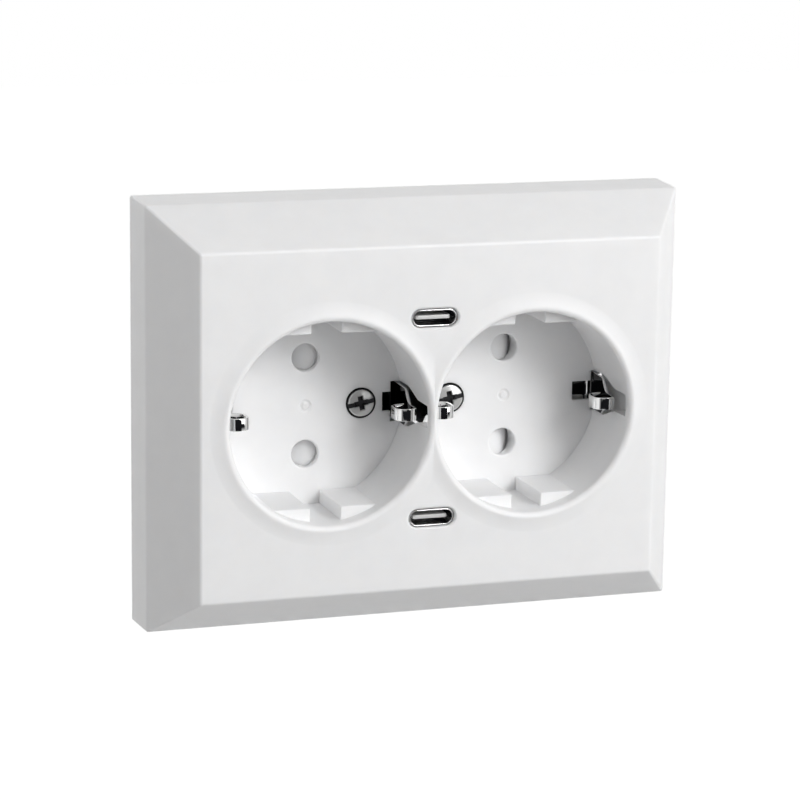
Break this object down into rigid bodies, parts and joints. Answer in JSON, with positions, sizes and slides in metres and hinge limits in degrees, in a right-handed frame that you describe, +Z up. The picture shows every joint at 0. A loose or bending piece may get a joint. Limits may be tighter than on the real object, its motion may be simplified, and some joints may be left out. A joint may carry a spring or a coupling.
{
  "type": "usb wall socket",
  "caption": "Wide earthed wall socket in a thick bevelled cover: round wells side by side with side earth clips and shuttered pin holes, and USB-C charging ports between them.",
  "frame": {"origin": "in the wall plane, behind the middle of the cover, between the two box screw slots", "axes": "X to the right along the longer side, Y into the wall, Z up"},
  "size_m": [0.1074, 0.0416, 0.0828],
  "materials": {
    "cover_plastic": "smooth satin white moulding",
    "screw_steel": "nickel plated steel",
    "clip_nickel": "bright nickel plated spring bronze",
    "plate_steel": "galvanised sheet steel",
    "shutter_plastic": "pale grey moulding",
    "spring_steel": "drawn spring wire",
    "base_plastic": "matt pale moulding",
    "carrier_plastic": "matt pale grey moulding",
    "contact_brass": "rolled brass strip",
    "terminal_brass": "drawn brass bar",
    "port_steel": "bright drawn stainless steel",
    "tongue_plastic": "black moulding with plated contacts",
    "board_laminate": "green solder resist on laminate",
    "ferrite": "sintered ferrite",
    "winding_tape": "yellow winding tape",
    "capacitor_can": "sleeved aluminium can",
    "chip_resin": "black moulded resin"
  },
  "bodies": {
    "socket": {"front_cover": "cover_plastic", "cover_screws": "screw_steel", "earth_strap_left": "clip_nickel", "earth_strap_right": "clip_nickel", "strap_screws": "screw_steel", "support_plate": "plate_steel", "shutter_spring_right": "spring_steel", "shutter_spring_left": "spring_steel", "insert_base": "base_plastic", "contact_carrier": "carrier_plastic", "carrier_screws": "screw_steel", "line_busbar": "contact_brass", "neutral_busbar": "contact_brass", "line_terminal": "terminal_brass", "earth_terminal": "terminal_brass", "neutral_terminal": "terminal_brass", "terminal_screws": "screw_steel", "usb_shell_upper": "port_steel", "usb_shell_lower": "port_steel", "usb_tongue_upper": "tongue_plastic", "usb_tongue_lower": "tongue_plastic", "port_board_upper": "board_laminate", "port_board_lower": "board_laminate", "charger_board": "board_laminate", "supply_pins": "contact_brass", "transformer_core": "ferrite", "transformer_winding": "winding_tape", "input_capacitor": "capacitor_can", "output_capacitor": "capacitor_can", "board_chips": "chip_resin"},
    "left_shutter": {"shutter_left": "shutter_plastic"},
    "right_shutter": {"shutter_right": "shutter_plastic"}
  },
  "joints": [
    {"name": "left_shutter_slide", "type": "slide", "parent": "socket", "child": "left_shutter", "axis": [1, 0, 0], "range_m": [0, 0.0056], "stiffness_N_per_m": 120, "springref_m": -0.002, "deforming": ["shutter_spring_left"]},
    {"name": "right_shutter_slide", "type": "slide", "parent": "socket", "child": "right_shutter", "axis": [-1, 0, 0], "range_m": [0, 0.0056], "stiffness_N_per_m": 120, "springref_m": -0.002, "deforming": ["shutter_spring_right"]}
  ]
}
